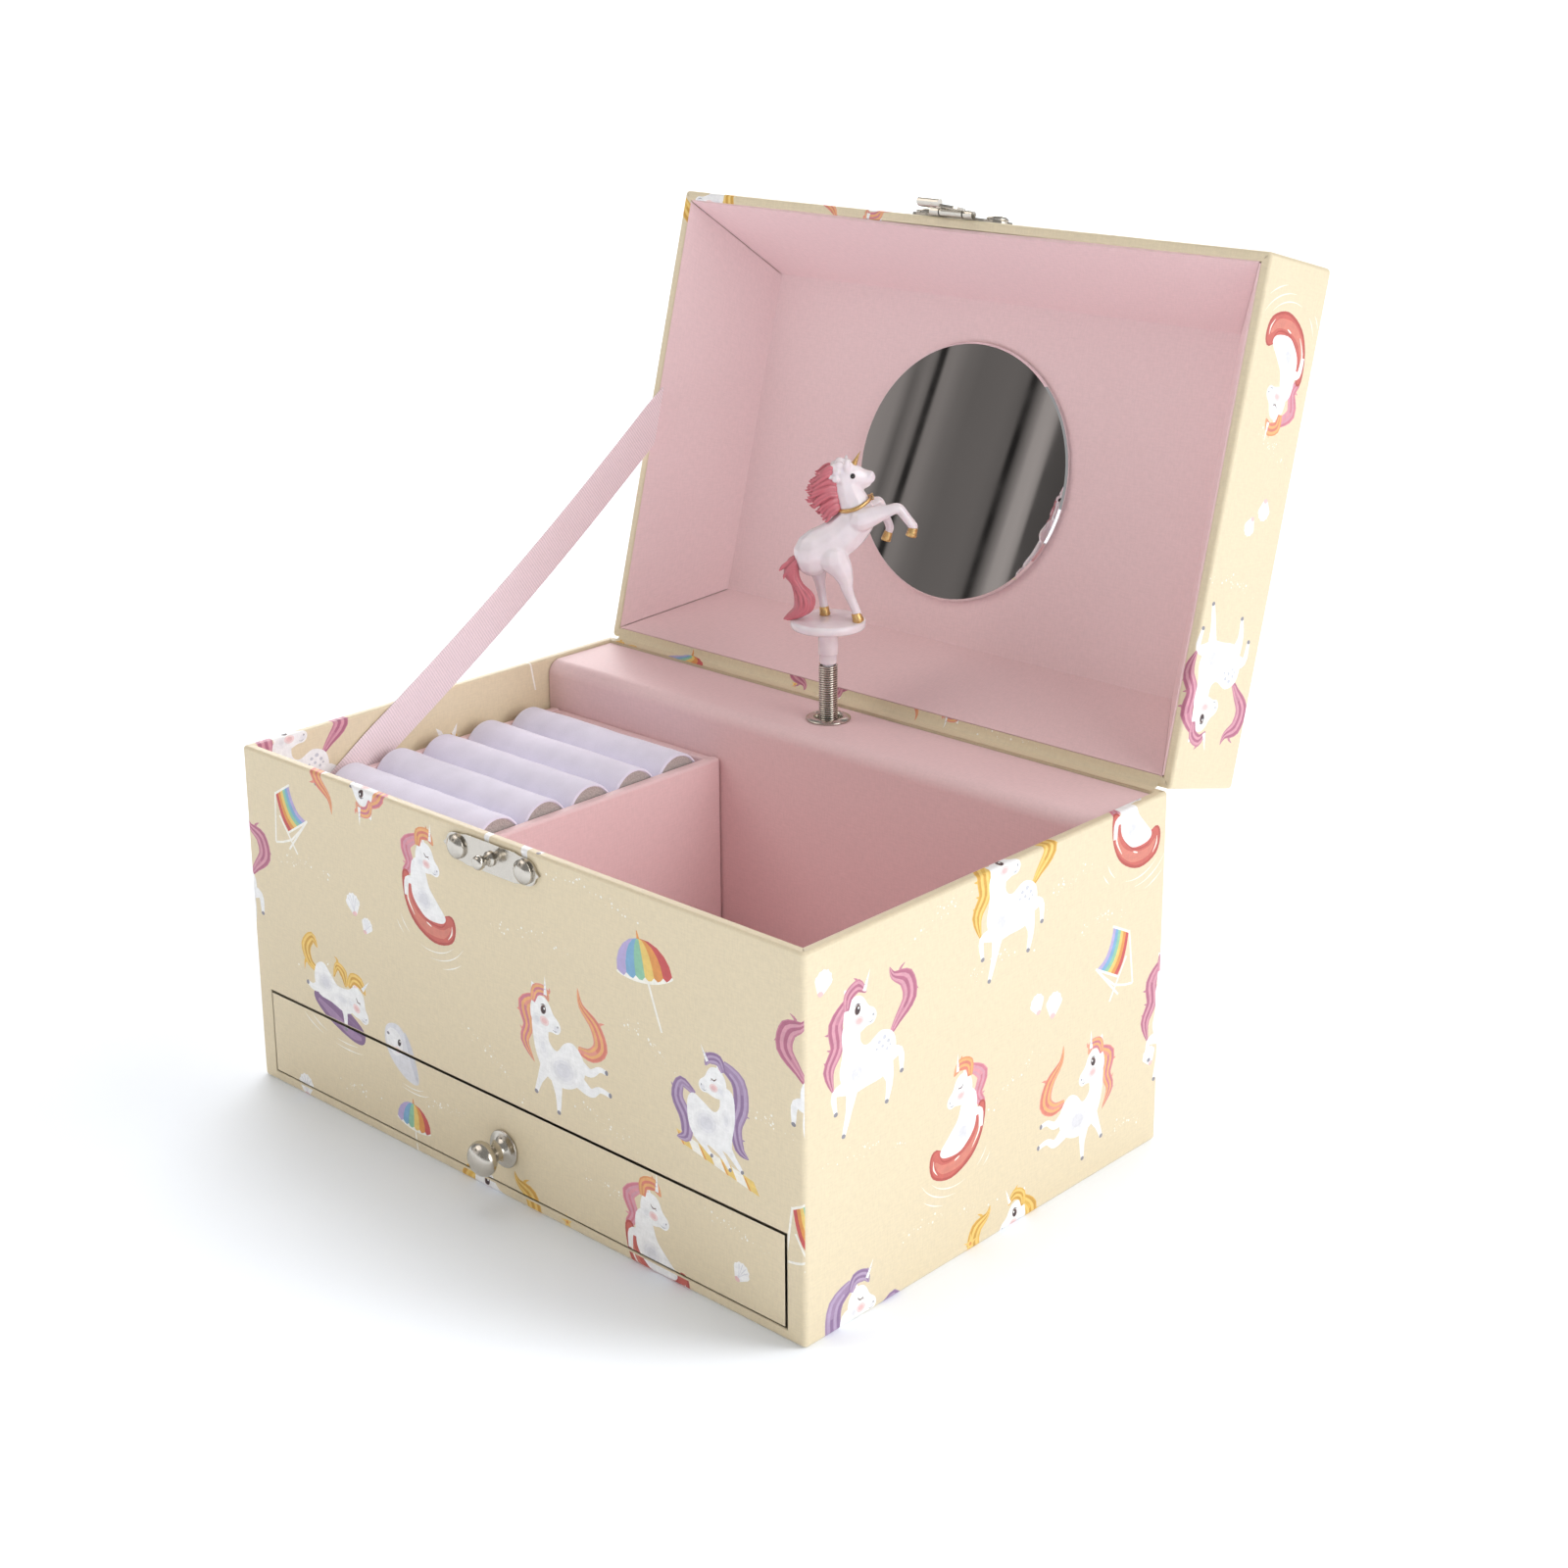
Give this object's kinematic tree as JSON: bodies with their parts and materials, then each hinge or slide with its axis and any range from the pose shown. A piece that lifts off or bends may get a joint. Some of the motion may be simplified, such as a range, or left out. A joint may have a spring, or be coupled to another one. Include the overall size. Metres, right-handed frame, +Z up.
{
  "type": "musical jewellery box",
  "caption": "Musical jewellery box in printed paper-covered board, with a drawer, ring rolls, a mirrored lid on a ribbon stay, and a unicorn figurine that turns on a coil spring.",
  "frame": {"origin": "centre of the case's footprint, on the surface that it stands on", "axes": "+X towards the right of someone facing the front, +Y towards the back, +Z up; the front has the latch and the drawer knob"},
  "size_m": [0.18, 0.1857, 0.207],
  "materials": {
    "printed_paper": "matt paper with a fine linen emboss, printed with a beach pattern",
    "pink_paper": "matt pink paper over board",
    "velvet": "short-pile lilac-white velveteen",
    "foam": "open-cell grey-beige foam",
    "ribbon": "ribbed grosgrain",
    "nickel": "bright nickel plate",
    "steel": "plain steel",
    "brass": "turned brass",
    "mirror": "round mirror with a ground edge",
    "white_resin": "glossy white, painted gold on the horn, collar and hooves",
    "pink_resin": "satin pink paint"
  },
  "bodies": {
    "case": {"base_board": "printed_paper", "left_wall": "printed_paper", "right_wall": "printed_paper", "back_wall": "printed_paper", "front_panel": "printed_paper", "shelf_board": "printed_paper", "left_drawer_rail": "printed_paper", "right_drawer_rail": "printed_paper", "ring_tray": "pink_paper", "ring_foam_block": "foam", "ring_roll_1": "velvet", "ring_roll_2": "velvet", "ring_roll_3": "velvet", "ring_roll_4": "velvet", "ring_roll_5": "velvet", "ring_roll_6": "velvet", "compartment_pad": "pink_paper", "compartment_lining": "nickel", "movement_cover": "pink_paper", "spindle_eyelet": "nickel", "latch_plate": "nickel", "latch_post": "nickel", "latch_rivet_left": "nickel", "latch_rivet_right": "nickel", "movement_bedplate": "steel", "movement_comb": "steel", "stay_ribbon": "ribbon"},
    "lid": {"lid_top_board": "printed_paper", "lid_left_wall": "printed_paper", "lid_right_wall": "printed_paper", "lid_back_wall": "printed_paper", "lid_front_wall": "printed_paper", "lid_liner": "pink_paper", "lid_mirror": "mirror", "hasp_plate": "nickel", "hasp_rivet_left": "nickel", "hasp_rivet_right": "nickel"},
    "hasp": {"hasp_flap": "nickel"},
    "drawer": {"drawer_front": "printed_paper", "drawer_floor": "pink_paper", "drawer_left_side": "pink_paper", "drawer_right_side": "pink_paper", "drawer_back": "pink_paper", "drawer_pad": "pink_paper", "drawer_knob": "nickel", "drawer_knob_screw": "steel"},
    "stem": {"stem_spring": "nickel"},
    "figurine": {"figurine_platform": "white_resin", "unicorn_body": "white_resin", "unicorn_mane": "pink_resin", "unicorn_tail": "pink_resin"},
    "spindle": {"figurine_spindle": "brass"},
    "drum": {"pinned_drum": "brass"},
    "governor": {"governor_wheel": "brass"},
    "fan": {"governor_fan": "steel"},
    "barrel": {"spring_barrel": "brass"},
    "key": {"winding_arbor": "steel", "winding_key": "nickel"},
    "stop": {"stop_pin": "steel"}
  },
  "joints": [
    {"name": "lid_hinge", "type": "hinge", "parent": "case", "child": "lid", "pos_m": [0, 0.0603, 0.08565], "axis": [1, 0, 0], "range_deg": [0, 105], "deforming": ["stay_ribbon"]},
    {"name": "stem_tilt", "type": "hinge", "parent": "case", "child": "stem", "pos_m": [-0.0012, 0.0486, 0.0898], "axis": [1, 0, 0], "range_deg": [0, 96]},
    {"name": "figurine_spin", "type": "hinge", "parent": "stem", "child": "figurine", "pos_m": [-0.0012, 0.0486, 0.0898], "axis": [0, 0, 1], "continuous": true},
    {"name": "spindle_spin", "type": "hinge", "parent": "case", "child": "spindle", "pos_m": [-0.0012, 0.0486, 0.0898], "axis": [0, 0, 1], "continuous": true},
    {"name": "drum_spin", "type": "hinge", "parent": "case", "child": "drum", "pos_m": [0.00953, 0.0464, 0.05], "axis": [0, 0, 1], "continuous": true},
    {"name": "governor_spin", "type": "hinge", "parent": "case", "child": "governor", "pos_m": [0.02037, 0.0479, 0.065], "axis": [0, 0, 1], "continuous": true},
    {"name": "fan_spin", "type": "hinge", "parent": "case", "child": "fan", "pos_m": [0.02877, 0.048, 0.06765], "axis": [0, 1, 0], "continuous": true},
    {"name": "barrel_spin", "type": "hinge", "parent": "case", "child": "barrel", "pos_m": [-0.0074, 0.048, 0.042], "axis": [0, 1, 0], "continuous": true},
    {"name": "key_turn", "type": "hinge", "parent": "case", "child": "key", "pos_m": [-0.0074, 0.065, 0.042], "axis": [0, 1, 0], "continuous": true},
    {"name": "drawer_slide", "type": "slide", "parent": "case", "child": "drawer", "axis": [0, -1, 0], "range_m": [0, 0.085]},
    {"name": "hasp_hinge", "type": "hinge", "parent": "lid", "child": "hasp", "pos_m": [0, 0.09226, 0.20261], "axis": [-1, 0, 0], "range_deg": [0, 110]},
    {"name": "stop_pin_slide", "type": "slide", "parent": "case", "child": "stop", "axis": [0, 0, 1], "range_m": [-0.0016, 0]}
  ],
  "couplings": [
    {"joint": "stem_tilt", "follows": "lid_hinge", "ratio": 0.90476},
    {"joint": "stop_pin_slide", "follows": "lid_hinge", "m_per_rad": -0.0008185},
    {"joint": "figurine_spin", "follows": "drum_spin", "ratio": -2},
    {"joint": "spindle_spin", "follows": "drum_spin", "ratio": -2},
    {"joint": "governor_spin", "follows": "drum_spin", "ratio": -2},
    {"joint": "fan_spin", "follows": "drum_spin", "ratio": 16},
    {"joint": "barrel_spin", "follows": "drum_spin", "ratio": -0.72727}
  ]
}
